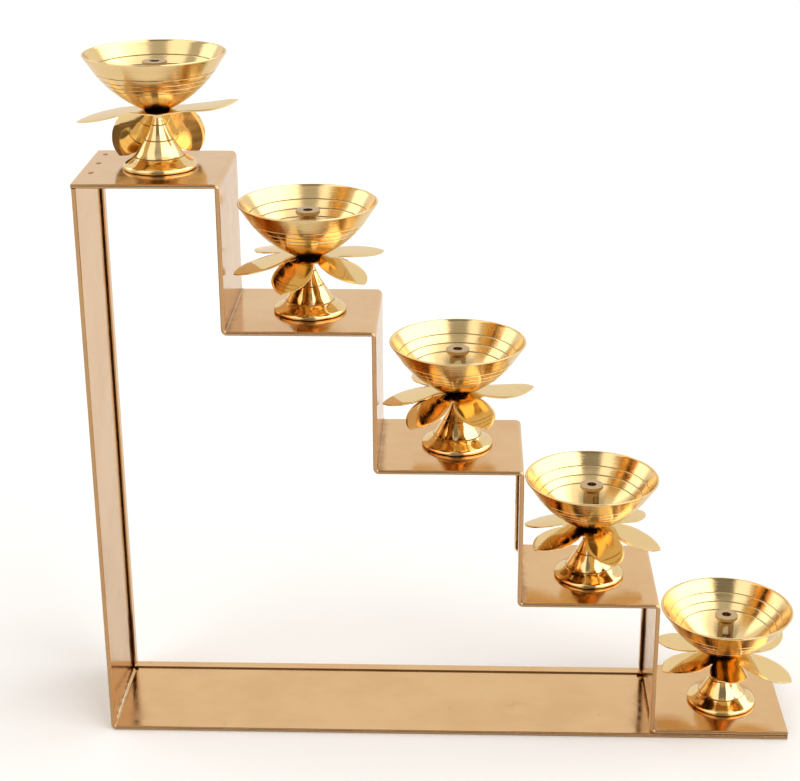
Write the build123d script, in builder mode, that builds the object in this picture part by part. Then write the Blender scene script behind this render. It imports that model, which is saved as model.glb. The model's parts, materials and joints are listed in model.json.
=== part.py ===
"""Five-step brass stand that carries one lotus oil lamp on each step.

Millimetres, +Z up.  The origin is the centre of the base's underside.  +X runs along
the steps, downwards from the tall wall, and +Y runs from the front to the back.
"""
import os
from math import copysign, cos, hypot, radians, sin, sqrt, tan

from build123d import *

# ---------------------------------------------------------------- the stand
TREADS = (75.0, 78.0, 78.0, 75.5, 74.5)  # hand-folded runs, from the tall end
RISERS = (78.0, 77.5, 78.5, 79.0)  # hand-folded drops, from the tall end
DEPTH = 74.0  # front edge to back edge
SHEET = 0.8  # brass sheet
HEM_GAP = 0.8  # air inside a folded edge
HEM = 2 * SHEET + HEM_GAP  # thickness of a folded edge
HEM_WIDTH = 6.5  # how far a folded edge reaches in
BEND_OUT = 3.0  # outer radius where the sheet folds round its hems
BEND_IN = 0.8  # visible radius where a riser meets the tread below it

WIDTH = sum(TREADS)
LEFT = -WIDTH / 2
HALF = DEPTH / 2
EDGES = [LEFT + sum(TREADS[:i]) for i in range(len(TREADS) + 1)]
LOWEST_TREAD = 2 * HEM  # the last tread lies on the hemmed base
LEVELS = [LOWEST_TREAD + sum(RISERS[i:]) for i in range(len(TREADS))]
TOP = LEVELS[0]

FLANGE = 14.0  # the wall's turned-in tongue under the top tread
FLANGE_SIDE = 2.0  # gap between the tongue and the folded edges
FLANGE_HALF = HALF - HEM_WIDTH - FLANGE_SIDE
FLANGE_BEND = 1.8
RIVET_INSET = 5.6  # rivet line, from the left edge
RIVET_ROW = (-13.0, 7.5, 27.0)  # along the depth
RIVET_R = 1.0
RIVET_HEAD_R = 1.5
RIVET_HEAD = 0.35
RIVET_BEVEL = 0.2

LINER = 0.7  # loose plate under the base's folded edges
LINER_LIFT = 0.05
LINER_SIDE = 0.3  # gap to the inside of the folded edges
LINER_HALF = HALF - HEM / 2 - LINER_SIDE
LINER_BACK = (3.5, 3.2)  # gap to the wall and to the last riser, at the back
LINER_FRONT = (11.0, 10.0)  # the same gaps at the front

# ---------------------------------------------------------------- the lamps
LAMP_SHIFT = ((2.1, 0.0), (2.0, 0.0), (3.0, 2.0), (0.8, 0.0), (4.4, -2.0))
WICK_TURNS = (24.0, -48.0, 6.0, 32.0, 3.0)  # which way each wick slot faces, from the front
# each petal as (direction in plan, droop), bent by hand and no two lamps alike; the first
# lamp has no front petals, and its back pair is folded down with the hub, as FOLDED_BACKS says
PETALS = (
    ((10, -7), (190, 11)),
    ((20, 3), (80, 6), (138, 9), (199, 14), (254, 20), (320, 16)),
    ((4, -4), (64, 4), (124, 4), (183, 14), (231, 21), (292, 14)),
    ((39, 8), (100, 6), (152, 18), (220, 6), (285, 12), (340, 18)),
    ((30, -8), (90, 4), (150, 4), (208, 2), (268, -9), (330, 14)),
)
FOLDED_BACKS = (100.0, None, None, None, None)  # which way the folded part of a hub faces
BACK_DROOP = 78.0
FIT = 0.05  # radial clearance on the studs and screws
THROUGH = 8.0  # height of a cut that goes right through a sheet

# foot: half section from the rim up to the stem, as (radius, height)
FOOT_LIP = 19.5
FOOT_RIM = ((18.3, 0.0), (FOOT_LIP, 0.9), (FOOT_LIP, 1.5), (18.5, 2.6))
FOOT_CONE = ((13.1, 6.4), (9.3, 12.2), (5.6, 18.4), (3.4, 23.6))
STEM_R = 2.6
STEM_FOOT = 26.5
STEM_TOP = 30.0
FOOT_LINES = (6.4, 15.0, 22.6)  # heights of the turned lines
FOOT_WALL = 1.6
FOOT_ROOF = 10.0
FOOT_SPLAY = (-1.3, 1)  # direction of the cone where it leaves the rim

ROSETTE = 0.6
HUB_APOTHEM = 14.0
PETAL_LENGTH = 28.0
PETAL_ROOT = 15.0
PETAL_EDGE = ((12.5, 10.3), (22.0, 7.2))  # half outline, from the fold to the tip
PETAL_START = (1, 0.6)  # direction of the outline at the fold and at the tip
PETAL_END = (0.7, -1)
PETAL_WIDTH = 20.6
PETAL_LAP = 6.0  # how far a petal reaches into the hub
PETAL_CURL = 5.0  # degrees, half of the bend along a petal
FOLD_R = 2.0
SIXTH = 60.0  # degrees from one petal of a flat rosette to the next
HUB_FOLD = HUB_APOTHEM * tan(radians(SIXTH / 2))  # from the axis to a line between two corners

BOWL_R = 37.2
BOWL_TOP = 59.7
BOWL_SHOULDER = (32.3, 52.2)  # where the straight flare starts
BOWL_BASE_R = 6.5
BOWL_WALL = 1.0
BOWL_BOTTOM = STEM_TOP + ROSETTE
HUB_Z = STEM_TOP + ROSETTE / 2
RIM_R = 0.35
LINE_R = 0.3  # radius of the turning tool's mark
LINE_SHALLOW = 0.1  # how far the mark's centre lies outside a foot
BOWL_OUTER_LINES = (50.7, 47.6, 45.0, 42.7)
BOWL_INNER_LINES = (52.7, 48.4, 44.7)

STUD_R = 1.5
STUD_LOW = 20.0
STUD_HIGH = 39.0
STUD_BEVEL = 0.3
HOLDER_R = 4.4
HOLDER_BORE = 2.6
HOLDER_TOP = 55.2
HOLDER_SEAT = 5.6
HOLDER_FLOOR = 40.0
COLLAR_R = 6.4
COLLAR = 1.6
COLLAR_TAPER = 2.4
SLOT = 4.6
SLOT_LOW = 41.0
SLOT_HIGH = 50.0

SCREW_R = 2.0
SCREW_HEAD_R = 3.6
SCREW_HEAD = 1.6
SCREW_REACH = 16.0
SCREW_ROOM = 1.0  # left over above the screw
SCREW_BEVEL = 0.4
SCREW_SLOT = 0.8
SCREW_SLOT_DEPTH = 0.6
WASHER = 0.6
WASHER_R = 5.0

LAMP_X = [(EDGES[i] + EDGES[i + 1]) / 2 + LAMP_SHIFT[i][0] for i in range(len(TREADS))]
LAMP_Y = [shift[1] for shift in LAMP_SHIFT]

os.makedirs("parts", exist_ok=True)


def save(part, name):
    """Label a finished piece and write it as its own file."""
    part.label = name
    export_step(part, f"parts/{name}.step")


def hem_section(plane):
    """Cross-section of a sheet whose two long edges are folded in on themselves."""
    straight = HALF - HEM / 2
    flap = HALF - HEM_WIDTH
    inner = SHEET + HEM_GAP
    with BuildSketch(plane) as section:
        with BuildLine():
            Line((0, -straight), (0, straight))
            ThreePointArc((0, straight), (HEM / 2, HALF), (HEM, straight))
            Polyline((HEM, straight), (HEM, flap), (inner, flap), (inner, straight))
            ThreePointArc((inner, straight), (HEM / 2, straight + HEM_GAP / 2), (SHEET, straight))
            Line((SHEET, straight), (SHEET, -straight))
            ThreePointArc((SHEET, -straight), (HEM / 2, -straight - HEM_GAP / 2), (inner, -straight))
            Polyline((inner, -straight), (inner, -flap), (HEM, -flap), (HEM, -straight))
            ThreePointArc((HEM, -straight), (HEM / 2, -HALF), (0, -straight))
        make_face()
    return section.sketch


# ---------------------------------------------------------------- stair strip
stair_corners = [(EDGES[0], TOP)]
for i in range(len(RISERS)):
    stair_corners += [(EDGES[i + 1], LEVELS[i]), (EDGES[i + 1], LEVELS[i + 1])]
stair_corners.append((EDGES[-1], LEVELS[-1]))

with BuildPart() as stair_strip:
    with BuildLine(Plane.XZ) as stair_path:
        FilletPolyline(*stair_corners, radius=[BEND_OUT, BEND_IN] * len(RISERS))
    sweep(
        sections=hem_section(Plane(origin=(LEFT, 0, TOP), x_dir=(0, 0, -1), z_dir=(1, 0, 0))),
        path=stair_path.line,
    )
    for x, y, z in zip(LAMP_X, LAMP_Y, LEVELS):
        with Locations((x, y, z)):
            Cylinder(SCREW_R + FIT, THROUGH, mode=Mode.SUBTRACT)
    with Locations(*[(LEFT + RIVET_INSET, y, TOP) for y in RIVET_ROW]):
        Cylinder(RIVET_R, THROUGH, mode=Mode.SUBTRACT)
save(stair_strip.part, "stair_strip")

# ---------------------------------------------------------------- wall and base strip
wall_top = TOP - HEM
with BuildPart() as wall_base_strip:
    with BuildLine(Plane.XZ) as wall_path:
        FilletPolyline((LEFT, wall_top), (LEFT, 0), (-LEFT, 0), radius=BEND_OUT)
    sweep(
        sections=hem_section(Plane(origin=(LEFT, 0, wall_top), x_dir=(1, 0, 0), z_dir=(0, 0, -1))),
        path=wall_path.line,
    )
    tongue_z = TOP - SHEET
    tongue_root = wall_top - HEM
    with BuildSketch(Plane.XZ):
        with BuildLine():
            FilletPolyline(
                (LEFT, tongue_root), (LEFT, tongue_z), (LEFT + FLANGE, tongue_z), radius=FLANGE_BEND
            )
            FilletPolyline(
                (LEFT + SHEET, tongue_root),
                (LEFT + SHEET, tongue_z - SHEET),
                (LEFT + FLANGE, tongue_z - SHEET),
                radius=FLANGE_BEND - SHEET,
            )
            Line((LEFT, tongue_root), (LEFT + SHEET, tongue_root))
            Line((LEFT + FLANGE, tongue_z), (LEFT + FLANGE, tongue_z - SHEET))
        make_face()
    extrude(amount=FLANGE_HALF, both=True)
    with Locations(*[(LEFT + RIVET_INSET, y, tongue_z) for y in RIVET_ROW]):
        Cylinder(RIVET_R, THROUGH, mode=Mode.SUBTRACT)
save(wall_base_strip.part, "wall_base_strip")

# ---------------------------------------------------------------- base liner plate
with BuildPart() as base_liner:
    with BuildSketch(Plane.XY.offset(SHEET + LINER_LIFT)):
        with BuildLine():
            Polyline(
                (LEFT + LINER_FRONT[0], -LINER_HALF),
                (EDGES[-2] - LINER_FRONT[1], -LINER_HALF),
                (EDGES[-2] - LINER_BACK[1], LINER_HALF),
                (LEFT + LINER_BACK[0], LINER_HALF),
                close=True,
            )
        make_face()
    extrude(amount=LINER)
save(base_liner.part, "base_liner")

# ---------------------------------------------------------------- seam rivets
with BuildPart() as seam_rivets:
    with Locations(*[(LEFT + RIVET_INSET, y, TOP) for y in RIVET_ROW]):
        Cylinder(RIVET_HEAD_R, RIVET_HEAD, align=(Align.CENTER, Align.CENTER, Align.MIN))
    chamfer(seam_rivets.edges().group_by(Axis.Z)[-1], RIVET_BEVEL)
    with Locations(*[(LEFT + RIVET_INSET, y, TOP) for y in RIVET_ROW]):
        Cylinder(RIVET_R, 2 * SHEET, align=(Align.CENTER, Align.CENTER, Align.MAX))
    with Locations(*[(LEFT + RIVET_INSET, y, TOP - 2 * SHEET) for y in RIVET_ROW]):
        Cylinder(RIVET_HEAD_R, RIVET_HEAD, align=(Align.CENTER, Align.CENTER, Align.MAX))
save(seam_rivets.part, "seam_rivets")


# ---------------------------------------------------------------- lamp pieces
def foot_radius(height):
    """Radius of the foot's flared cone at a height, on straight runs between its points."""
    cone = (FOOT_RIM[-1], *FOOT_CONE, (STEM_R, STEM_FOOT))
    for (r0, z0), (r1, z1) in zip(cone, cone[1:]):
        if z0 <= height <= z1:
            return r0 + (r1 - r0) * (height - z0) / (z1 - z0)
    return STEM_R


def make_foot():
    """Turned foot: flared hollow cone, slim stem, a screw hole below and a stud hole above."""
    with BuildPart() as foot:
        with BuildSketch(Plane.XZ):
            with BuildLine():
                Polyline(*FOOT_RIM)
                Spline(FOOT_RIM[-1], *FOOT_CONE, (STEM_R, STEM_FOOT), tangents=(FOOT_SPLAY, (0, 1)))
                Polyline((STEM_R, STEM_FOOT), (STEM_R, STEM_TOP), (0, STEM_TOP), (0, FOOT_ROOF))
                Polyline((0, FOOT_ROOF), (foot_radius(FOOT_ROOF) - FOOT_WALL, FOOT_ROOF))
                Polyline(
                    (foot_radius(FOOT_ROOF) - FOOT_WALL, FOOT_ROOF),
                    (FOOT_CONE[0][0] - FOOT_WALL, FOOT_CONE[0][1] - FOOT_WALL),
                    (FOOT_RIM[0][0] - FOOT_WALL, 0),
                    FOOT_RIM[0],
                )
            make_face()
        revolve(axis=Axis.Z)
        for height in FOOT_LINES:
            with BuildSketch(Plane.XZ):
                with Locations((foot_radius(height) + LINE_SHALLOW, height)):
                    Circle(LINE_R)
            revolve(axis=Axis.Z, mode=Mode.SUBTRACT)
        with Locations((0, 0, FOOT_ROOF)):
            Cylinder(
                SCREW_R + FIT,
                SCREW_REACH + SCREW_ROOM - FOOT_ROOF,
                align=(Align.CENTER, Align.CENTER, Align.MIN),
                mode=Mode.SUBTRACT,
            )
        with Locations((0, 0, STEM_TOP)):
            Cylinder(
                STUD_R + FIT,
                STEM_TOP - STUD_LOW,
                align=(Align.CENTER, Align.CENTER, Align.MAX),
                mode=Mode.SUBTRACT,
            )
    return foot.part


def make_stud():
    """Plain stud that ties the foot, the rosette, the bowl and the wick holder together."""
    with BuildPart() as stud:
        with Locations((0, 0, STUD_LOW)):
            Cylinder(STUD_R, STUD_HIGH - STUD_LOW, align=(Align.CENTER, Align.CENTER, Align.MIN))
        chamfer(stud.edges().filter_by(GeomType.CIRCLE), STUD_BEVEL)
    return stud.part


def make_leaf():
    """Flat outline of one petal along +X, from inside the hub to the tip."""
    with BuildSketch() as leaf:
        with BuildLine():
            Polyline((0, PETAL_ROOT / 2), (-PETAL_LAP, PETAL_ROOT / 2), (-PETAL_LAP, 0))
            Spline((0, PETAL_ROOT / 2), *PETAL_EDGE, (PETAL_LENGTH, 0), tangents=(PETAL_START, PETAL_END))
            Line((-PETAL_LAP, 0), (PETAL_LENGTH, 0))
        make_face()
        mirror(about=Plane.XZ)
    return leaf.sketch


def make_petal(droop):
    """One leaf-shaped petal along +X: a strip folded at the hub, then curved to its tip."""
    curl = copysign(PETAL_CURL, droop)
    turn = radians(droop)
    with BuildPart() as petal:
        with BuildSketch(Plane.XZ):
            with BuildLine():
                inner = Line((HUB_APOTHEM - PETAL_LAP, HUB_Z), (HUB_APOTHEM, HUB_Z))
                fold = JernArc(inner @ 1, inner % 1, FOLD_R, curl - droop)
                JernArc(fold @ 1, fold % 1, PETAL_LENGTH / radians(2 * PETAL_CURL), -2 * curl)
            trace(line_width=ROSETTE)
        extrude(amount=PETAL_WIDTH, both=True)
        leaf_plane = Plane(
            origin=(HUB_APOTHEM, 0, HUB_Z), x_dir=(cos(turn), 0, -sin(turn)), z_dir=(sin(turn), 0, cos(turn))
        )
        with BuildSketch(leaf_plane):
            add(make_leaf())
        extrude(amount=PETAL_WIDTH, both=True, mode=Mode.INTERSECT)
    return petal.part


def make_folded_back():
    """Part of a hub beyond two corners on +X, folded down in one piece with its two petals."""
    turn = radians(BACK_DROOP)
    reach = HUB_APOTHEM + PETAL_LENGTH
    with BuildPart() as back:
        with BuildSketch(Plane.XZ):
            with BuildLine():
                inner = Line((HUB_FOLD - PETAL_LAP, HUB_Z), (HUB_FOLD, HUB_Z))
                fold = JernArc(inner @ 1, inner % 1, FOLD_R, -BACK_DROOP)
                Line(fold @ 1, fold @ 1 + fold % 1 * reach)
            trace(line_width=ROSETTE)
        extrude(amount=reach, both=True)
        # where the hub's centre would lie if the folded part were one flat sheet
        flat_x = HUB_FOLD + FOLD_R * sin(turn) - cos(turn) * (HUB_FOLD + FOLD_R * turn)
        flat_z = HUB_Z - FOLD_R * (1 - cos(turn)) + sin(turn) * (HUB_FOLD + FOLD_R * turn)
        flat = Plane(
            origin=(flat_x, 0, flat_z), x_dir=(cos(turn), 0, -sin(turn)), z_dir=(sin(turn), 0, cos(turn))
        )
        with BuildSketch(flat):
            RegularPolygon(HUB_APOTHEM, 6, major_radius=False)
            for side in (-1, 1):
                add(Rot(0, 0, side * SIXTH / 2) * Pos(HUB_APOTHEM, 0) * make_leaf())
        extrude(amount=reach, both=True, mode=Mode.INTERSECT)
    return back.part


def make_rosette(petals, folded_back):
    """Petals on a hexagonal hub, cut from one sheet and bent by hand."""
    with BuildPart() as rosette:
        with BuildSketch(Plane.XY.offset(STEM_TOP)):
            RegularPolygon(HUB_APOTHEM, 6, major_radius=False, rotation=petals[0][0] + SIXTH / 2)
            if folded_back is not None:
                with Locations(Location((0, 0, 0), (0, 0, folded_back)) * Pos(HUB_FOLD, 0)):
                    Rectangle(HUB_APOTHEM, 2 * BOWL_R, align=(Align.MIN, Align.CENTER), mode=Mode.SUBTRACT)
        extrude(amount=ROSETTE)
        for direction, droop in petals:
            add(make_petal(droop), rotation=(0, 0, direction))
        if folded_back is not None:
            add(make_folded_back(), rotation=(0, 0, folded_back))
        Cylinder(STUD_R + FIT, 2 * BOWL_TOP, mode=Mode.SUBTRACT)
    return rosette.part


def bowl_line(height, side):
    """Radius of the bowl's wall at a height, on its outside (side 0) or inside (side 1)."""
    shoulder_r, shoulder_z = BOWL_SHOULDER
    flare_r, flare_z = BOWL_R - shoulder_r, BOWL_TOP - shoulder_z
    flare = hypot(flare_r, flare_z)
    fall_r, fall_z = shoulder_r - BOWL_BASE_R, shoulder_z - BOWL_BOTTOM
    belly = (fall_r**2 + fall_z**2) * flare / (2 * (fall_r * flare_z - fall_z * flare_r))
    centre_r = shoulder_r - belly * flare_z / flare
    centre_z = shoulder_z + belly * flare_r / flare
    if height > shoulder_z:
        wall = side * BOWL_WALL * flare / flare_z
        return shoulder_r + (height - shoulder_z) * flare_r / flare_z - wall
    return centre_r + sqrt((belly - side * BOWL_WALL) ** 2 - (centre_z - height) ** 2)


def make_bowl():
    """Spun bowl: flared wall on a rounded bottom, with turned lines inside and outside."""
    with BuildPart() as bowl:
        with BuildSketch(Plane.XZ):
            with BuildLine():
                flare = Line((BOWL_R, BOWL_TOP), BOWL_SHOULDER)
                belly = TangentArc(BOWL_SHOULDER, (BOWL_BASE_R, BOWL_BOTTOM), tangent=flare % 1)
                Line(belly @ 1, (STUD_R + FIT, BOWL_BOTTOM))
                offset(amount=BOWL_WALL, side=Side.RIGHT, closed=True)
            make_face()
            with Locations((BOWL_R, BOWL_TOP)):
                Rectangle(BOWL_R, BOWL_WALL, align=(Align.CENTER, Align.MIN), mode=Mode.SUBTRACT)
            for side, heights in enumerate((BOWL_OUTER_LINES, BOWL_INNER_LINES)):
                with Locations(*[(bowl_line(height, side), height) for height in heights]):
                    Circle(LINE_R, mode=Mode.SUBTRACT)
        revolve(axis=Axis.Z)
        rim = bowl.faces().filter_by(Plane.XY).sort_by(Axis.Z)[-1]
        fillet(rim.edges(), RIM_R)
    return bowl.part


def make_wick_holder(turn):
    """Turned tube with a collar, screwed on the stud, with a slot through it for the wick."""
    floor = BOWL_BOTTOM + BOWL_WALL
    with BuildPart() as holder:
        with BuildSketch(Plane.XZ):
            with BuildLine():
                Polyline(
                    (0, floor),
                    (HOLDER_SEAT, floor),
                    (HOLDER_SEAT, floor + COLLAR),
                    (HOLDER_R, floor + COLLAR_TAPER),
                    (HOLDER_R, HOLDER_TOP - COLLAR - COLLAR_TAPER),
                    (COLLAR_R, HOLDER_TOP - COLLAR),
                    (COLLAR_R, HOLDER_TOP),
                    (HOLDER_BORE, HOLDER_TOP),
                    (HOLDER_BORE, HOLDER_FLOOR),
                    (0, HOLDER_FLOOR),
                    close=True,
                )
            make_face()
        revolve(axis=Axis.Z)
        Cylinder(STUD_R + FIT, 2 * (STUD_HIGH + FIT), mode=Mode.SUBTRACT)
        with BuildSketch(Plane.XZ.rotated((0, 0, turn))):
            with BuildLine():
                Line((-SLOT / 2, SLOT_LOW), (SLOT / 2, SLOT_LOW))
                Line((SLOT / 2, SLOT_LOW), (SLOT / 2, SLOT_HIGH - SLOT / 2))
                RadiusArc((SLOT / 2, SLOT_HIGH - SLOT / 2), (-SLOT / 2, SLOT_HIGH - SLOT / 2), -SLOT / 2)
                Line((-SLOT / 2, SLOT_HIGH - SLOT / 2), (-SLOT / 2, SLOT_LOW))
            make_face()
        extrude(amount=2 * HOLDER_R, both=True, mode=Mode.SUBTRACT)
    return holder.part


def make_screw():
    """Slotted cheese-head screw that comes up through the tread into the foot."""
    top = -SHEET - WASHER
    with BuildPart() as screw:
        with Locations((0, 0, top)):
            Cylinder(SCREW_R, SCREW_REACH - top, align=(Align.CENTER, Align.CENTER, Align.MIN))
            Cylinder(SCREW_HEAD_R, SCREW_HEAD, align=(Align.CENTER, Align.CENTER, Align.MAX))
        chamfer(screw.edges().group_by(Axis.Z)[-1], SCREW_BEVEL)
        with Locations((0, 0, top - SCREW_HEAD)):
            Box(3 * SCREW_HEAD_R, SCREW_SLOT, 2 * SCREW_SLOT_DEPTH, mode=Mode.SUBTRACT)
    return screw.part


def make_washer():
    """Plain washer between the screw head and the underside of the tread."""
    with BuildPart() as washer:
        with Locations((0, 0, -SHEET)):
            Cylinder(WASHER_R, WASHER, align=(Align.CENTER, Align.CENTER, Align.MAX))
        Cylinder(SCREW_R + FIT, THROUGH, mode=Mode.SUBTRACT)
    return washer.part


for i, petals in enumerate(PETALS):
    at = Location((LAMP_X[i], LAMP_Y[i], LEVELS[i]))
    number = i + 1
    save(at * make_foot(), f"foot_{number}")
    save(at * make_stud(), f"stud_{number}")
    save(at * make_rosette(petals, FOLDED_BACKS[i]), f"rosette_{number}")
    save(at * make_bowl(), f"bowl_{number}")
    save(at * make_wick_holder(WICK_TURNS[i]), f"wick_holder_{number}")
    save(at * make_screw(), f"tread_screw_{number}")
    save(at * make_washer(), f"tread_washer_{number}")
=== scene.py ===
"""Five-step brass stand with a lotus oil lamp on each step: its finished look.

Sizes are written in millimetres, as in the CAD model, and turned into metres by MM.
"""

import json
from math import asin, copysign, cos, hypot, pi, radians, sin, sqrt, tan

import bpy
from mathutils import Matrix, Vector, noise


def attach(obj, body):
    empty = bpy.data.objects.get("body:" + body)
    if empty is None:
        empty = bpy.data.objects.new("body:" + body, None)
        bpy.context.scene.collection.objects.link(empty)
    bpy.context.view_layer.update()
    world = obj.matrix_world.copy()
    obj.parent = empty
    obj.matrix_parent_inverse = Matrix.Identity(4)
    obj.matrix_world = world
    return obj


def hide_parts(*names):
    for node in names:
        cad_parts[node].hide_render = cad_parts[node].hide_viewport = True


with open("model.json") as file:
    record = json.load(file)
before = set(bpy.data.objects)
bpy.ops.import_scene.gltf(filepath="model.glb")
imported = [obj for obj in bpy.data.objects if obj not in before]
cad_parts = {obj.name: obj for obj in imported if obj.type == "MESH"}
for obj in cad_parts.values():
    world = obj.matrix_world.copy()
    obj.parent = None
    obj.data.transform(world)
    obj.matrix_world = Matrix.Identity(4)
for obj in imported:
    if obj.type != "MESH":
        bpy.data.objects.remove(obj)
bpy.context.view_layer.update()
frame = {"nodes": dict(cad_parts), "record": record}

MM = 0.001

# ---------------------------------------------------------------- sizes of the stand
TREADS = (75.0, 78.0, 78.0, 75.5, 74.5)
RISERS = (78.0, 77.5, 78.5, 79.0)
HALF = 37.0  # half of the depth
SHEET = 0.8
HEM = 2.4  # thickness of a folded edge
LEFT = -sum(TREADS) / 2
EDGES = [LEFT + sum(TREADS[:i]) for i in range(len(TREADS) + 1)]
LEVELS = [2 * HEM + sum(RISERS[i:]) for i in range(len(TREADS))]

# ---------------------------------------------------------------- sizes of the lamps
LAMP_SHIFT = ((2.1, 0.0), (2.0, 0.0), (3.0, 2.0), (0.8, 0.0), (4.4, -2.0))
LAMP_PLACES = [
    ((EDGES[i] + EDGES[i + 1]) / 2 + across, back, LEVELS[i])
    for i, (across, back) in enumerate(LAMP_SHIFT)
]
# each petal as (direction in plan, droop); the first lamp's back pair is folded down with its hub
PETALS = (
    ((10, -7), (190, 11)),
    ((20, 3), (80, 6), (138, 9), (199, 14), (254, 20), (320, 16)),
    ((4, -4), (64, 4), (124, 4), (183, 14), (231, 21), (292, 14)),
    ((39, 8), (100, 6), (152, 18), (220, 6), (285, 12), (340, 18)),
    ((30, -8), (90, 4), (150, 4), (208, 2), (268, -9), (330, 14)),
)
FOLDED_BACK = 100.0  # which way the folded part of the first lamp's hub faces
BACK_DROOP = 78.0
BACK_TWIST = 4.0  # degrees that the folded part leans round, by hand
STUD_R = 1.55  # of the hole for the stud
SCREW_R = 2.05  # of the hole for the screw
SCREW_TOP = 17.0

FOOT_RIM = ((16.7, 0.0), (18.3, 0.0), (19.2, 0.35), (19.5, 0.9), (19.5, 1.5), (19.2, 2.1), (18.5, 2.6))
FOOT_CONE = ((13.1, 6.4), (9.3, 12.2), (5.6, 18.4), (3.4, 23.6), (2.6, 26.5))
FOOT_LINES = (6.4, 15.0, 22.6)
FOOT_INSIDE = ((7.9, 10.0), (11.5, 4.8))
FOOT_SPLAY = (-3.4, 2.6)  # direction of the cone where it leaves the rim, and at the stem
FOOT_RISE = (0.0, 2.4)
FOOT_STEPS = 9
STEM_EDGE = 0.2
STEM_R = 2.6
STEM_TOP = 30.0

ROSETTE = 0.6
HUB_APOTHEM = 14.0
HUB_CORNER = HUB_APOTHEM / cos(radians(30))
HUB_FOLD = HUB_CORNER / 2
PETAL_LENGTH = 28.0
# half outline of a petal as (distance from the fold, half width)
PETAL_ROOT = 7.5
PETAL_OUTLINE = (
    (0.0, PETAL_ROOT), (3.0, 8.9), (7.5, 9.9), (12.5, 10.3),
    (17.5, 9.4), (22.0, 7.2), (25.6, 4.0), (PETAL_LENGTH, 0.0),
)
PETAL_START = (3.0, 1.6)
PETAL_END = (1.8, -4.0)
PETAL_STEPS = 6
PETAL_CURL = 5.0  # degrees, half of the bend along a petal
FOLD_R = 2.0

BOWL_R = 37.2
BOWL_TOP = 59.7
BOWL_SHOULDER = (32.3, 52.2)
BOWL_BASE_R = 6.5
BOWL_WALL = 1.0
BOWL_BOTTOM = STEM_TOP + ROSETTE
BOWL_OUTER_LINES = (50.7, 47.6, 45.0, 42.7)
BOWL_INNER_LINES = (52.7, 48.4, 44.7)
BOWL_SEAT = 5.0  # radius of the flat under the bowl
LIP = 0.5  # height of the rounded rim
LIP_OUTSIDE = ((-0.02, 0.25), (-0.12, 0.43), (-0.32, LIP))
LIP_INSIDE = ((0.3, LIP), (0.12, 0.4))
NARROW_BAND = 6.0  # the metal swells only between lines closer than this
BAND_SWELL = 0.035  # how far the metal between two lines swells
BELLY_STEPS = 60
FLARE_STEPS = 12

TURNS = 160  # segments round each turned piece
TURNED_EDGE = 38.0  # degrees; sharper edges stay crisp
LINE_HALF = 0.27  # half of a turned line's width
LINE_DEEP = 0.22
# a line's cross-section as (place in half widths, depth and dirt as a share)
LINE_SHAPE = ((-1.5, 0.0), (-1.0, 0.0), (-0.35, 1.0), (0.35, 1.0), (1.0, 0.0), (1.5, 0.0))
LINE_ROOM = 1.6 * LINE_HALF  # no other points of the profile lie this near to a line


# ---------------------------------------------------------------- node helpers
def put(tree, kind, inputs=None, **settings):
    """Add a node, set its properties, and set or link its inputs by name or number."""
    node = tree.nodes.new(kind)
    for key, value in settings.items():
        setattr(node, key, value)
    for key, value in (inputs or {}).items():
        if isinstance(value, bpy.types.NodeSocket):
            tree.links.new(value, node.inputs[key])
        else:
            node.inputs[key].default_value = value
    return node


def calc(tree, operation, first, second=0.0, third=0.0):
    """The value of a Math node."""
    return put(tree, "ShaderNodeMath", {0: first, 1: second, 2: third}, operation=operation).outputs[0]


def ramp(tree, value, low, high, start=0.0, end=1.0):
    """Smooth change from start to end as value goes from low to high."""
    node = put(
        tree,
        "ShaderNodeMapRange",
        {"Value": value, "From Min": low, "From Max": high, "To Min": start, "To Max": end},
        interpolation_type="SMOOTHSTEP",
    )
    return node.outputs["Result"]


def grain(tree, where, scale, detail=3.0, rough=0.5, dimensions="3D"):
    """Value of a noise texture."""
    slot = "W" if dimensions == "1D" else "Vector"
    inputs = {slot: where, "Scale": scale, "Detail": detail, "Roughness": rough}
    return put(tree, "ShaderNodeTexNoise", inputs, noise_dimensions=dimensions).outputs[0]


def blend_colour(tree, factor, first, second):
    """Colour that goes from first to second as the factor goes from 0 to 1."""
    return put(tree, "ShaderNodeMix", {0: factor, 6: first, 7: second}, data_type="RGBA").outputs[2]


def stretched(tree, where, scale):
    """Coordinates scaled by a different amount along each axis."""
    return put(tree, "ShaderNodeMapping", {"Vector": where, "Scale": scale}).outputs[0]


# ---------------------------------------------------------------- materials
BRASS = (0.74, 0.48, 0.245, 1.0)
BRASS_DEEP = (0.60, 0.34, 0.14, 1.0)
TARNISH = (0.36, 0.21, 0.10, 1.0)
OXIDE = (0.16, 0.09, 0.045, 1.0)
SPUN = (0.82, 0.60, 0.29, 1.0)
SPUN_DEEP = (0.72, 0.49, 0.20, 1.0)
PETAL = (0.81, 0.60, 0.29, 1.0)
PETAL_DEEP = (0.71, 0.49, 0.19, 1.0)
DULL = (0.56, 0.40, 0.22, 1.0)
SOLDER_TONE = (0.80, 0.66, 0.46, 1.0)
STEEL = (0.48, 0.46, 0.43, 1.0)
RUST = (0.22, 0.12, 0.06, 1.0)
GRAZING_TINT = (0.92, 0.90, 0.88, 1.0)
# how many features of each texture there are in a metre
CLOUDS = 22
PATCHES = 38
SPECKS = 420
CORNER_WOBBLES = 75
WAVES = 26
RUBBING = (30, 140, 140)  # drawn out along the sheet's long direction
ROLLING = (12, 900, 900)
TURNED_CLOUDS = 45
RUST_SPOTS = 700
SCRATCHES = (600, 4000, 600)
# and in the width of a turned piece
RINGS = 150
BANDS = 14
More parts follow.
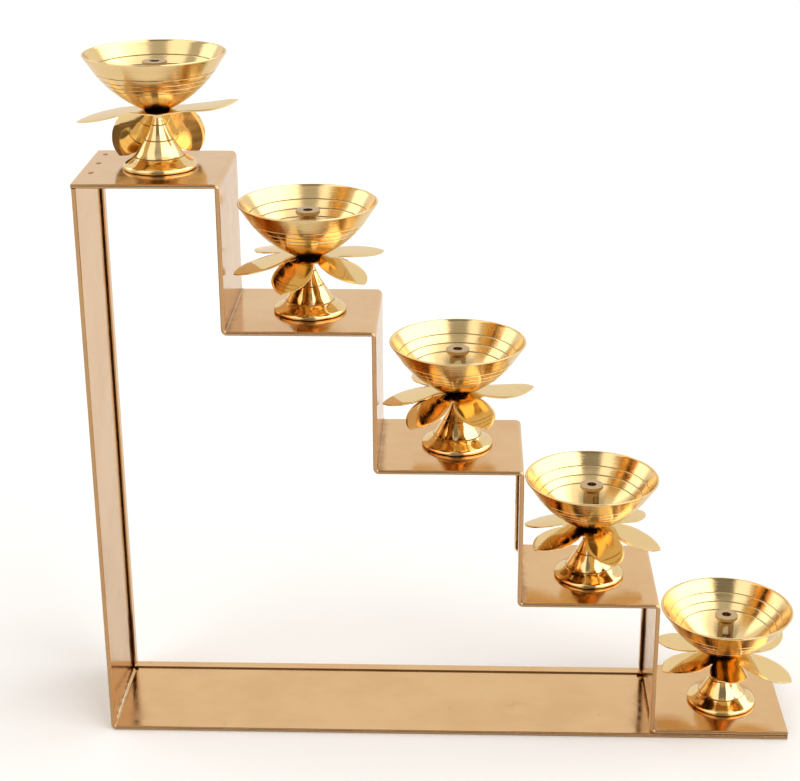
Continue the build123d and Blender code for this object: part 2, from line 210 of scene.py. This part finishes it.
# heights of the bumps, in metres
WAVE_HIGH = 0.0016
ROLLING_HIGH = 0.00004
RING_HIGH = 0.00006
SCRATCH_HIGH = 0.00005
STAIN_SHADE_NEAR = 5 * MM  # a corner's darkening, part real stain and part painted shade, is full up to here and gone at the far distance below
STAIN_SHADE_FAR = 10 * MM
STAIN_SHADE_WOBBLE = 12 * MM
HEM_SHADE_BAND = ((HALF - 0.9) * MM, (HALF - 0.35) * MM)  # where painted shade darkens the hem's outer turn


def new_material(name):
    """Empty node material with a metal shader; gives the tree, the shader and object coordinates."""
    material = bpy.data.materials.new(name)
    material.use_nodes = True
    tree = material.node_tree
    shader = tree.nodes["Principled BSDF"]
    shader.inputs["Metallic"].default_value = 1.0
    shader.inputs["Specular Tint"].default_value = GRAZING_TINT
    where = put(tree, "ShaderNodeTexCoord").outputs["Object"]
    return material, tree, shader, where


def bump(tree, height, distance, strength=1.0, under=None):
    """Normal from a height in metres."""
    inputs = {"Height": height, "Distance": distance, "Strength": strength}
    if under is not None:
        inputs["Normal"] = under
    return put(tree, "ShaderNodeBump", inputs).outputs[0]


def sheet_material(name, base, deep, gloss, smudge, corners=()):
    """Polished rolled sheet: cloudy rubbing, rolling lines, small stains and finger marks, with painted
    shade in creases and, where corners are given, at inner corners and on the hem's outer turn.
    """
    material, tree, shader, where = new_material(name)
    cloud = ramp(tree, grain(tree, where, CLOUDS, 4, 0.6), 0.35, 0.7)
    colour = blend_colour(tree, calc(tree, "MULTIPLY", cloud, 0.35), base, deep)
    patch = ramp(tree, grain(tree, where, PATCHES, 5, 0.65), 0.62, 0.78)
    colour = blend_colour(tree, calc(tree, "MULTIPLY", patch, 0.35), colour, TARNISH)
    speck = ramp(tree, grain(tree, where, SPECKS, 2, 0.5), 0.73, 0.79)
    colour = blend_colour(tree, calc(tree, "MULTIPLY", speck, 0.45), colour, OXIDE)
    # painted shade: concave creases, found by curvature, are darkened towards tarnish
    curvature = put(tree, "ShaderNodeNewGeometry").outputs["Pointiness"]
    groove = ramp(tree, curvature, 0.485, 0.44)
    colour = blend_colour(tree, calc(tree, "MULTIPLY", groove, 0.5), colour, TARNISH)
    # painted shade mixed with real stains: every inner corner darkens towards tarnish along its whole
    # length
    stain_and_shade = 0.0
    if corners:
        axes = put(tree, "ShaderNodeSeparateXYZ", {0: where}).outputs
        wobble = calc(tree, "MULTIPLY", grain(tree, where, CORNER_WOBBLES, 4, 0.6), STAIN_SHADE_WOBBLE)
        for x, z in corners:
            across = calc(tree, "ABSOLUTE", calc(tree, "SUBTRACT", axes[0], x * MM))
            up = calc(tree, "ABSOLUTE", calc(tree, "SUBTRACT", axes[2], z * MM))
            gap = calc(tree, "ADD", calc(tree, "ADD", across, up), wobble)
            stain_and_shade = calc(tree, "MAXIMUM", stain_and_shade, ramp(tree, gap, STAIN_SHADE_NEAR, STAIN_SHADE_FAR, 0.75, 0.0))
        # painted shade on the hem's outer turn, near the sheet's front and back edges
        hem_shade = ramp(tree, calc(tree, "ABSOLUTE", axes[1]), *HEM_SHADE_BAND, 0.0, 0.6)
        stain_and_shade = calc(tree, "MAXIMUM", stain_and_shade, hem_shade)
        colour = blend_colour(tree, stain_and_shade, colour, TARNISH)
    tree.links.new(colour, shader.inputs["Base Color"])
    rubbed = ramp(tree, grain(tree, stretched(tree, where, RUBBING), 1, 4, 0.6), 0.3, 0.75)
    rough = calc(tree, "MULTIPLY_ADD", rubbed, smudge, gloss)
    rough = calc(tree, "ADD", rough, calc(tree, "MULTIPLY", patch, 0.12))
    rough = calc(tree, "ADD", rough, calc(tree, "MULTIPLY", stain_and_shade, 0.2))
    tree.links.new(rough, shader.inputs["Roughness"])
    lines = grain(tree, stretched(tree, where, ROLLING), 1, 2, 0.5)
    wave = grain(tree, where, WAVES, 1, 0.4)
    soft = bump(tree, wave, WAVE_HIGH, 0.35)
    tree.links.new(bump(tree, lines, ROLLING_HIGH, 0.25, soft), shader.inputs["Normal"])
    return material


def turned_material(name, base, deep, gloss, anisotropy):
    """Lathe-turned brass: fine rings round the axis, with dark lines where the tool dwelt."""
    material, tree, shader, where = new_material(name)
    local = put(tree, "ShaderNodeTexCoord").outputs["Generated"]
    middle = (0.5, 0.5, 0.0)
    centred = put(tree, "ShaderNodeVectorMath", {0: local, 1: middle}, operation="SUBTRACT").outputs[0]
    parts = put(tree, "ShaderNodeSeparateXYZ", {0: centred})
    flat = put(tree, "ShaderNodeCombineXYZ", {0: parts.outputs[0], 1: parts.outputs[1]}).outputs[0]
    radius = put(tree, "ShaderNodeVectorMath", {0: flat}, operation="LENGTH").outputs["Value"]
    along = calc(tree, "ADD", radius, calc(tree, "MULTIPLY", parts.outputs[2], 0.9))
    rings = grain(tree, along, RINGS, 3, 0.6, "1D")
    bands = grain(tree, along, BANDS, 2, 0.5, "1D")
    cloud = ramp(tree, grain(tree, where, TURNED_CLOUDS, 4, 0.6), 0.4, 0.75)
    colour = blend_colour(tree, calc(tree, "MULTIPLY", cloud, 0.4), base, deep)
    colour = blend_colour(tree, ramp(tree, rings, 0.6, 0.8, 0.0, 0.25), colour, TARNISH)
    mark = put(tree, "ShaderNodeAttribute", attribute_name="mark").outputs["Fac"]
    dirt = ramp(tree, mark, 0.15, 0.85, 0.0, 0.7)
    colour = blend_colour(tree, dirt, colour, OXIDE)
    tree.links.new(colour, shader.inputs["Base Color"])
    rough = calc(tree, "ADD", calc(tree, "MULTIPLY", bands, 0.06), gloss - 0.03)
    rough = calc(tree, "ADD", rough, calc(tree, "MULTIPLY", cloud, 0.04))
    rough = calc(tree, "ADD", rough, calc(tree, "MULTIPLY", dirt, 0.4))
    tree.links.new(rough, shader.inputs["Roughness"])
    tangent = put(tree, "ShaderNodeTangent", direction_type="RADIAL", axis="Z").outputs[0]
    tree.links.new(tangent, shader.inputs["Tangent"])
    shader.inputs["Anisotropic"].default_value = anisotropy
    tree.links.new(bump(tree, rings, RING_HIGH, 0.35), shader.inputs["Normal"])
    return material


def steel_material(name):
    """Plated steel screw: cool grey with rubbed and rusty patches."""
    material, tree, shader, where = new_material(name)
    rust = ramp(tree, grain(tree, where, RUST_SPOTS, 4, 0.6), 0.58, 0.72)
    colour = blend_colour(tree, rust, STEEL, RUST)
    tree.links.new(colour, shader.inputs["Base Color"])
    tree.links.new(ramp(tree, rust, 0, 1, 0.3, 0.6), shader.inputs["Roughness"])
    scratches = grain(tree, stretched(tree, where, SCRATCHES), 1)
    tree.links.new(bump(tree, scratches, SCRATCH_HIGH, 0.4), shader.inputs["Normal"])
    return material


CORNERS = [(EDGES[i + 1], LEVELS[i + 1]) for i in range(len(RISERS))] + [(LEFT, SHEET)]
MATERIALS = {
    "stand_sheet": sheet_material("stand_brass", BRASS, BRASS_DEEP, 0.10, 0.10, CORNERS),
    "liner_sheet": sheet_material("liner_brass", BRASS, BRASS_DEEP, 0.16, 0.12),
    "rivet_brass": sheet_material("rivet_brass", BRASS_DEEP, TARNISH, 0.2, 0.1),
    "turned_brass": turned_material("turned_brass", SPUN, SPUN_DEEP, 0.08, 0.3),
    "petal_sheet": sheet_material("petal_brass", PETAL, PETAL_DEEP, 0.05, 0.05),
    "fastener_brass": turned_material("fastener_brass", BRASS_DEEP, TARNISH, 0.25, 0.3),
    "fastener_steel": steel_material("plated_steel"),
}
SOLDER = sheet_material("solder", SOLDER_TONE, BRASS, 0.28, 0.15)
WICK_BRASS = turned_material("wick_brass", DULL, TARNISH, 0.26, 0.3)
SLOTS = {row["node"]: row["material_slot"] for row in frame["record"]["subparts"]}


# ---------------------------------------------------------------- mesh pieces
def finish_mesh(piece):
    """Apply the modifiers, then smooth the faces but keep the sharp edges."""
    bpy.context.view_layer.update()
    source = piece.evaluated_get(bpy.context.evaluated_depsgraph_get())
    mesh = bpy.data.meshes.new_from_object(source)
    piece.modifiers.clear()
    piece.data = mesh
    mesh.shade_smooth()
    mesh.set_sharp_from_angle(angle=radians(SMOOTH_ANGLE))


def add_piece(name, points, faces, nodes, body, slot, material=None):
    """New piece from points in millimetres; it stands for the CAD nodes and rides on their body."""
    mesh = bpy.data.meshes.new(name)
    mesh.from_pydata([[c * MM for c in point] for point in points], [], faces)
    mesh.materials.append(material or MATERIALS[slot])
    piece = bpy.data.objects.new(name, mesh)
    bpy.context.scene.collection.objects.link(piece)
    if nodes:
        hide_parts(*nodes)
    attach(piece, body)
    return piece


def smooth_curve(points, start, end, steps):
    """Points on a cubic curve through the given ones, with its first and last directions."""
    slopes = [start]
    for before, after in zip(points, points[2:]):
        slopes.append(((after[0] - before[0]) / 2, (after[1] - before[1]) / 2))
    slopes.append(end)
    out = []
    for i in range(len(points) - 1):
        for k in range(steps):
            t = k / steps
            weights = (2 * t**3 - 3 * t**2 + 1, t**3 - 2 * t**2 + t, 3 * t**2 - 2 * t**3, t**3 - t**2)
            shape = (points[i], slopes[i], points[i + 1], slopes[i + 1])
            out.append(tuple(sum(w * p[axis] for w, p in zip(weights, shape)) for axis in (0, 1)))
    out.append(points[-1])
    return out


def between(table, value):
    """Straight-line reading of a table of pairs that rises in its first column."""
    for (x0, y0), (x1, y1) in zip(table, table[1:]):
        if value <= x1:
            return y0 + (y1 - y0) * (value - x0) / (x1 - x0)
    return table[-1][1]


def lathe(name, profile, place, node, body):
    """Turned piece from a closed (radius, height, mark) profile, outside upwards; a mark is dirt."""
    points, faces, marks = [], [], []
    count = len(profile)
    for k in range(TURNS):
        angle = 2 * pi * k / TURNS
        for r, z, mark in profile:
            points.append((place[0] + r * cos(angle), place[1] + r * sin(angle), place[2] + z))
            marks.append(mark)
    for k in range(TURNS):
        this, after = k * count, (k + 1) % TURNS * count
        for j in range(count):
            up = (j + 1) % count
            faces.append((this + j, after + j, after + up, this + up))
    mesh = add_piece(name, points, faces, [node], body, "turned_brass").data
    mesh.attributes.new("mark", "FLOAT", "POINT").data.foreach_set("value", marks)
    mesh.shade_smooth()
    mesh.set_sharp_from_angle(angle=radians(TURNED_EDGE))


def with_lines(heights, radius, lines, deep):
    """Profile (radius, height, mark) of a wall, with a marked groove at each line's height."""
    marked = {}
    for height in heights:
        if all(abs(height - line) > LINE_ROOM for line in lines):
            marked[height] = 0.0
    for line in lines:
        for step, mark in LINE_SHAPE:
            marked[line + step * LINE_HALF] = mark
    return [(radius(height) - deep * mark, height, mark) for height, mark in sorted(marked.items())]


def bowl_profile():
    """Closed profile of the bowl, from the stud hole up the outside and down the inside."""
    shoulder_r, shoulder_z = BOWL_SHOULDER
    flare_r, flare_z = BOWL_R - shoulder_r, BOWL_TOP - shoulder_z
    flare = hypot(flare_r, flare_z)
    fall_r, fall_z = shoulder_r - BOWL_BASE_R, shoulder_z - BOWL_BOTTOM
    belly = (fall_r**2 + fall_z**2) * flare / (2 * (fall_r * flare_z - fall_z * flare_r))
    centre_r = shoulder_r - belly * flare_z / flare
    centre_z = shoulder_z + belly * flare_r / flare

    def side(inset, lines):
        """The wall's outside, or its inside at an inset, as (radius, height, mark) upwards."""
        def radius(height):
            """Radius of this side at a height."""
            swell = 0.0
            ends = sorted((BOWL_BOTTOM, *lines, BOWL_TOP))
            for low, high in zip(ends, ends[1:]):
                if low < height < high and high - low < NARROW_BAND:
                    swell = BAND_SWELL * 4 * (height - low) * (high - height) / (high - low) ** 2
            swell = swell if inset == 0 else -swell
            if height > shoulder_z:
                wall = inset * flare / flare_z
                return shoulder_r + (height - shoulder_z) * flare_r / flare_z - wall + swell
            return centre_r + sqrt((belly - inset) ** 2 - (centre_z - height) ** 2) + swell

        low = BOWL_BOTTOM + inset
        start = asin((centre_z - low) / (belly - inset))
        stop = asin((centre_z - shoulder_z) / (belly - inset))
        heights = [low]
        for k in range(1, BELLY_STEPS):
            heights.append(centre_z - (belly - inset) * sin(start + (stop - start) * k / BELLY_STEPS))
        top = BOWL_TOP - LIP
        for k in range(FLARE_STEPS + 1):
            heights.append(shoulder_z + (top - shoulder_z) * k / FLARE_STEPS)
        return with_lines(heights, radius, lines, LINE_DEEP if inset == 0 else -LINE_DEEP)

    outside = side(0.0, BOWL_OUTER_LINES)
    inside = side(BOWL_WALL, BOWL_INNER_LINES)
    rim = [(outside[-1][0] + r, BOWL_TOP - LIP + z, 0.0) for r, z in LIP_OUTSIDE]
    rim += [(inside[-1][0] + r, BOWL_TOP - LIP + z, 0.0) for r, z in LIP_INSIDE]
    bottom = [(r, BOWL_BOTTOM, 0.0) for r in (STUD_R, BOWL_SEAT)]
    floor = [(r, BOWL_BOTTOM + BOWL_WALL, 0.0) for r in (BOWL_SEAT, STUD_R)]
    return bottom + outside + rim + inside[::-1] + floor


def foot_profile():
    """Closed profile of the flared foot: outside, stud bore, screw hole and hollow."""
    cone = smooth_curve((FOOT_RIM[-1], *FOOT_CONE), FOOT_SPLAY, FOOT_RISE, FOOT_STEPS)
    curve = [(z, r) for r, z in cone]
    heights = [z for z, r in curve[1:]]
    body = with_lines(heights, lambda height: between(curve, height), FOOT_LINES, LINE_DEEP)
    outside = [(r, z, 0.0) for r, z in FOOT_RIM] + body
    top = [(STEM_R, STEM_TOP - STEM_EDGE, 0.0), (STEM_R - STEM_EDGE, STEM_TOP, 0.0)]
    top.append((STUD_R, STEM_TOP, 0.0))
    bore = [(STUD_R, SCREW_TOP, 0.0), (SCREW_R, SCREW_TOP, 0.0), (SCREW_R, FOOT_INSIDE[0][1], 0.0)]
    hollow = [(r, z, 0.0) for r, z in FOOT_INSIDE]
    return outside + top + bore + hollow


BEAD_MIDDLE = SHEET + 0.15  # how far the solder's middle lies from the stand's outer faces
BEAD_HALF = 0.95
BEAD_START = 3.0 - HALF
BEAD_LENGTH = 1.3 * HALF
BEAD_STATIONS = 90
BEAD_AROUND = 12
BEAD_TAPER = 5  # stations over which its ends run out


def add_bead():
    """Uneven line of solder where the wall meets the base, from the front to two thirds back."""
    points, faces = [], []
    for k in range(BEAD_STATIONS + 1):
        y = BEAD_START + BEAD_LENGTH * k / BEAD_STATIONS
        ends = min(k, BEAD_STATIONS - k, BEAD_TAPER) / BEAD_TAPER
        thick = BEAD_HALF * (0.2 + 0.8 * ends) * (1 + 0.4 * noise.noise(Vector((y * 0.21, 3.0, 0.0))))
        for j in range(BEAD_AROUND):
            angle = 2 * pi * j / BEAD_AROUND
            lump = thick * (1 + 0.2 * noise.noise(Vector((y * 0.5, cos(angle), sin(angle)))))
            x = max(BEAD_MIDDLE + lump * cos(angle), SHEET / 2)
            z = max(BEAD_MIDDLE + lump * sin(angle), SHEET / 2)
            points.append((LEFT + x, y, z))
    for k in range(BEAD_STATIONS):
        for j in range(BEAD_AROUND):
            low, after = k * BEAD_AROUND + j, k * BEAD_AROUND + (j + 1) % BEAD_AROUND
            faces.append((low, low + BEAD_AROUND, after + BEAD_AROUND, after))
    faces.append(tuple(range(BEAD_AROUND)))
    faces.append(tuple(reversed(range(BEAD_STATIONS * BEAD_AROUND, len(points)))))
    piece = add_piece("solder_bead", points, faces, [], "stand", "stand_sheet", SOLDER)
    piece.data.shade_smooth()


# ---------------------------------------------------------------- rosettes
ACROSS = 8  # cells across a petal
ALONG = 26  # cells along a petal
HUB_RINGS = 5
HUB_Z = STEM_TOP + ROSETTE / 2
BEND_STEPS = 140
WARP = 0.35  # how far a petal strays from its even curve
WARP_SCALE = 0.055
LOOSE = 10.0  # distance from the fold at which a petal strays fully
CUP = 0.004  # how fast a petal falls away from its middle line
TRIM = 0.992  # keeps the petal tips inside the CAD ones
WIDEN = 3.0  # distance over which a wider root narrows to the usual outline
EDGE_WIDTH = 0.12
EDGE_ANGLE = 50.0
SMOOTH_ANGLE = 35.0
WELD_GAP = 0.02


def petal_bend(droop):
    """Function from the distance along a petal to its (reach, fall, slope)."""
    curl = radians(copysign(PETAL_CURL, droop))
    turn = radians(droop) - curl
    fold = FOLD_R * abs(turn)
    table = [(0.0, 0.0, 0.0)]
    reach = fall = 0.0
    step = PETAL_LENGTH / BEND_STEPS
    for k in range(BEND_STEPS):
        at = (k + 0.5) * step
        if at < fold:
            slope = turn * at / fold
        else:
            slope = turn + 2 * curl * (at - fold) / (PETAL_LENGTH - fold)
        reach += cos(slope) * step
        fall += sin(slope) * step
        table.append((reach, fall, slope))

    def read(at):
        """Reach, fall and slope at a distance along the petal."""
        place = at / step
        k = min(int(place), BEND_STEPS - 1)
        share = place - k
        low, high = table[k], table[k + 1]
        return tuple(a + (b - a) * share for a, b in zip(low, high))

    return read


def back_bend(at):
    """(reach, fall, slope) of a point at a distance beyond the folded hub's fold line."""
    turn = radians(BACK_DROOP)
    arc = FOLD_R * turn
    if at <= arc:
        slope = at / FOLD_R
        return FOLD_R * sin(slope), FOLD_R * (1 - cos(slope)), slope
    rest = at - arc
    return FOLD_R * sin(turn) + rest * cos(turn), FOLD_R * (1 - cos(turn)) + rest * sin(turn), turn


def leaf_grid(root_half):
    """Flat petal as rows of (distance, offset), from its root to one point at the tip."""
    outline = smooth_curve(PETAL_OUTLINE, PETAL_START, PETAL_END, PETAL_STEPS)
    rows = []
    for k in range(ALONG):
        distance = PETAL_LENGTH * sin(pi / 2 * k / ALONG) ** 0.9
        half = between(outline, distance)
        if distance < WIDEN:
            half += (root_half - PETAL_ROOT) * (1 - distance / WIDEN)
        rows.append([(distance, half * (2 * j / ACROSS - 1)) for j in range(ACROSS + 1)])
    rows.append([(PETAL_LENGTH, 0.0)])
    return rows


def turned_about(point, angle):
    """Point turned about the axis by an angle in degrees."""
    c, s = cos(radians(angle)), sin(radians(angle))
    return (point[0] * c - point[1] * s, point[0] * s + point[1] * c, *point[2:])


def warp(x, y, seed):
    """Small hand-made bend at a place, always the same for the same seed."""
    return noise.noise(Vector((x * WARP_SCALE + seed * 7.3, y * WARP_SCALE, seed * 3.1))) * WARP


def add_grid(points, faces, rows):
    """Add rows of points as a sheet; a row of one point closes it like a fan."""
    start = len(points)
    for row in rows:
        points.extend(row)
    for low, high in zip(rows, rows[1:]):
        after = start + len(low)
        for j in range(len(low) - 1):
            if len(high) == 1:
                faces.append((start + j, after, start + j + 1))
            else:
                faces.append((start + j, after + j, after + j + 1, start + j + 1))
        start = after


def petal_rows(direction, droop, seed, root_half):
    """One petal's points on the bent sheet."""
    bend = petal_bend(droop)
    rows = []
    for row in leaf_grid(root_half):
        bent = []
        for distance, offset in row:
            reach, fall, slope = bend(distance * TRIM)
            loose = min(distance / LOOSE, 1.0)
            rise = loose * warp(distance, offset, seed + direction)
            rise -= loose * CUP * offset * offset
            place = (HUB_APOTHEM + reach + sin(slope) * rise, offset, HUB_Z - fall + cos(slope) * rise)
            bent.append(turned_about(place, direction))
        rows.append(bent)
    return rows


def back_rows(seed):
    """The folded part of the first lamp's hub and its two leaves, as lists of rows."""
    def bent(x, y):
        """Place of a point of the flat sheet once it is folded."""
        reach, fall, slope = back_bend(x - HUB_FOLD)
        loose = min((x - HUB_FOLD) / LOOSE, 1.0)
        rise = loose * (warp(x, y, seed) - y * tan(radians(BACK_TWIST)))
        place = (HUB_FOLD + reach + sin(slope) * rise, y, HUB_Z - fall + cos(slope) * rise)
        return turned_about(place, FOLDED_BACK)

    cells = 2 * ACROSS
    plate = []
    for k in range(ACROSS):
        x = HUB_FOLD * (1 + k / ACROSS)
        half = HUB_APOTHEM * (1 - k / ACROSS)
        plate.append([bent(x, half * (2 * j / cells - 1)) for j in range(cells + 1)])
    plate.append([bent(HUB_CORNER, 0.0)])
    grids = [plate]
    for side in (-30, 30):
        rows = []
        for row in leaf_grid(HUB_FOLD):
            flat = [turned_about((HUB_APOTHEM + distance, offset), side) for distance, offset in row]
            rows.append([bent(max(x, HUB_FOLD), y) for x, y in flat])
        grids.append(rows)
    return grids


def hub_rows(edge):
    """Hub sheet as rows from the stud hole out to a closed edge of flat points."""
    rows = []
    for k in range(HUB_RINGS + 1):
        share = (k / HUB_RINGS) ** 0.8
        row = []
        for x, y in edge:
            length = hypot(x, y)
            hole = (x / length * STUD_R, y / length * STUD_R)
            row.append((hole[0] + (x - hole[0]) * share, hole[1] + (y - hole[1]) * share, HUB_Z))
        rows.append(row + row[:1])
    return rows


def add_rosette(number, petals, place):
    """Sheet of petals bent by hand; the first lamp's has its back part folded down."""
    points, faces, edge = [], [], []
    first = number == 1
    root_half = HUB_FOLD if first else PETAL_ROOT
    cells = 2 * ACROSS
    for direction, droop in petals:
        root = [(HUB_APOTHEM, root_half * (2 * j / ACROSS - 1)) for j in range(ACROSS + 1)]
        edge += [turned_about(point, direction) for point in root]
        if first and direction < FOLDED_BACK:
            line = [(HUB_FOLD, HUB_APOTHEM * (2 * j / cells - 1)) for j in range(1, cells)]
            edge += [turned_about(point, FOLDED_BACK) for point in line]
        add_grid(points, faces, petal_rows(direction, droop, number, root_half))
    if first:
        edge.append(turned_about((HUB_CORNER, 0.0), FOLDED_BACK + 180))
        for rows in back_rows(number):
            add_grid(points, faces, rows)
    add_grid(points, faces, hub_rows(edge))
    world = [(x + place[0], y + place[1], z + place[2]) for x, y, z in points]
    name = f"rosette_{number}"
    piece = add_piece("leaves_" + name, world, faces, [name], f"lamp_{number}", "petal_sheet")
    weld = piece.modifiers.new("weld", "WELD")
    weld.merge_threshold = WELD_GAP * MM
    thick = piece.modifiers.new("thick", "SOLIDIFY")
    thick.thickness = ROSETTE * MM
    thick.offset = 0.0
    edges = piece.modifiers.new("edges", "BEVEL")
    edges.width = EDGE_WIDTH * MM
    edges.segments = 2
    edges.angle_limit = radians(EDGE_ANGLE)
    finish_mesh(piece)


# ---------------------------------------------------------------- studio
CAMERA_PLACE = (8.0, -892.2, 541.3)
CAMERA_PITCH = 21.27
CAMERA_YAW = -2.23
CAMERA_ROLL = -0.36
CAMERA_LENS = 79.27
CAMERA_REACH = 200  # metres


def place_camera():
    """Camera at the height and distance the perspective of the steps gives."""
    pitch, yaw, roll = radians(CAMERA_PITCH), radians(CAMERA_YAW), radians(CAMERA_ROLL)
    forward = Vector((sin(yaw) * cos(pitch), cos(yaw) * cos(pitch), -sin(pitch)))
    side = forward.cross(Vector((0, 0, 1))).normalized()
    up = side.cross(forward)
    right = side * cos(roll) + up * sin(roll)
    above = up * cos(roll) - side * sin(roll)
    data = bpy.data.cameras.new("camera")
    data.lens = CAMERA_LENS
    data.clip_end = CAMERA_REACH
    camera = bpy.data.objects.new("camera", data)
    turn = Matrix((right, above, -forward)).transposed().to_4x4()
    camera.matrix_world = Matrix.Translation(Vector(CAMERA_PLACE) * MM) @ turn
    bpy.context.scene.collection.objects.link(camera)
    bpy.context.scene.camera = camera


# each panel as (azimuth from the front, elevation, brightness), a later one over an earlier one
PANELS = (
    ((-180, 180), (66, 91), 0.55),
    ((21, 125), (6, 66), 2.0),
    ((21, 125), (14, 46), 2.9),
    ((24, 125), (54, 66), 1.3),
    ((-70, -22), (8, 66), 1.45),
    ((-97, -70), (16, 48), 0.6),
    ((-125, -97), (14, 48), 1.9),
    ((-22, 22), (-12, 46), 0.23),
    ((-22, 22), (46, 66), 0.6),
)
PANEL_EDGE = 2.0
ROOM_TONE = (1.0, 0.985, 0.96, 1.0)


def light_world():
    """White room with bright panels to both sides and above, and a dark gap in front."""
    world = bpy.data.worlds.new("studio")
    world.use_nodes = True
    tree = world.node_tree
    background = tree.nodes["Background"]
    toward = put(tree, "ShaderNodeTexCoord").outputs["Generated"]
    axes = put(tree, "ShaderNodeSeparateXYZ", {0: toward}).outputs
    front = calc(tree, "MULTIPLY", axes[1], -1)
    azimuth = calc(tree, "DEGREES", calc(tree, "ARCTAN2", axes[0], front))
    elevation = calc(tree, "DEGREES", calc(tree, "ARCSINE", axes[2]))
    light = 1.0
    for (left, right), (low, high), brightness in PANELS:
        inside = 1.0
        for angle, start, end in ((azimuth, left, right), (elevation, low, high)):
            rise = ramp(tree, angle, start - PANEL_EDGE, start)
            fall = ramp(tree, angle, end, end + PANEL_EDGE, 1.0, 0.0)
            inside = calc(tree, "MULTIPLY", calc(tree, "MULTIPLY", rise, fall), inside)
        change = calc(tree, "SUBTRACT", brightness, light)
        light = calc(tree, "ADD", light, calc(tree, "MULTIPLY", change, inside))
    seen = put(tree, "ShaderNodeLightPath").outputs["Is Camera Ray"]
    light = calc(tree, "MAXIMUM", light, seen)
    tree.links.new(light, background.inputs["Strength"])
    background.inputs["Color"].default_value = ROOM_TONE
    bpy.context.scene.world = world


FLOOR_HALF = 12.0  # metres
PAPER = (0.80, 0.785, 0.765, 1)
PAPER_PALE = (0.82, 0.805, 0.785, 1)
PAPER_SEEN = (0.90, 0.89, 0.88, 1)  # what the camera sees; the brass reflects the darker paper
PAPER_SCALE = 60
PAPER_ROUGH = 0.9
PAPER_SHINE = 0.1


def lay_floor():
    """Wide pale floor under the stand."""
    mesh = bpy.data.meshes.new("floor")
    corners = [(x * FLOOR_HALF, y * FLOOR_HALF, 0) for x, y in ((-1, -1), (1, -1), (1, 1), (-1, 1))]
    mesh.from_pydata(corners, [], [(0, 1, 2, 3)])
    floor = bpy.data.objects.new("floor", mesh)
    bpy.context.scene.collection.objects.link(floor)
    material = bpy.data.materials.new("paper")
    material.use_nodes = True
    tree = material.node_tree
    shader = tree.nodes["Principled BSDF"]
    where = put(tree, "ShaderNodeTexCoord").outputs["Object"]
    colour = blend_colour(tree, grain(tree, where, PAPER_SCALE), PAPER, PAPER_PALE)
    seen = put(tree, "ShaderNodeLightPath").outputs["Is Camera Ray"]
    colour = blend_colour(tree, seen, colour, PAPER_SEEN)
    tree.links.new(colour, shader.inputs["Base Color"])
    shader.inputs["Roughness"].default_value = PAPER_ROUGH
    shader.inputs["Specular IOR Level"].default_value = PAPER_SHINE
    mesh.materials.append(material)


place_camera()
light_world()
lay_floor()
bpy.context.scene.view_settings.view_transform = "Standard"

for name, node in frame["nodes"].items():
    node.data.materials.clear()
    node.data.materials.append(WICK_BRASS if name.startswith("wick_holder") else MATERIALS[SLOTS[name]])

for index, place in enumerate(LAMP_PLACES):
    number = index + 1
    turned = (
        ("spun_bowl", bowl_profile(), "bowl", "oil_bowl"),
        ("turned_foot", foot_profile(), "foot", "lamp"),
    )
    for name, profile, node, body in turned:
        lathe(f"{name}_{number}", profile, place, f"{node}_{number}", f"{body}_{number}")
    add_rosette(number, PETALS[index], place)
add_bead()
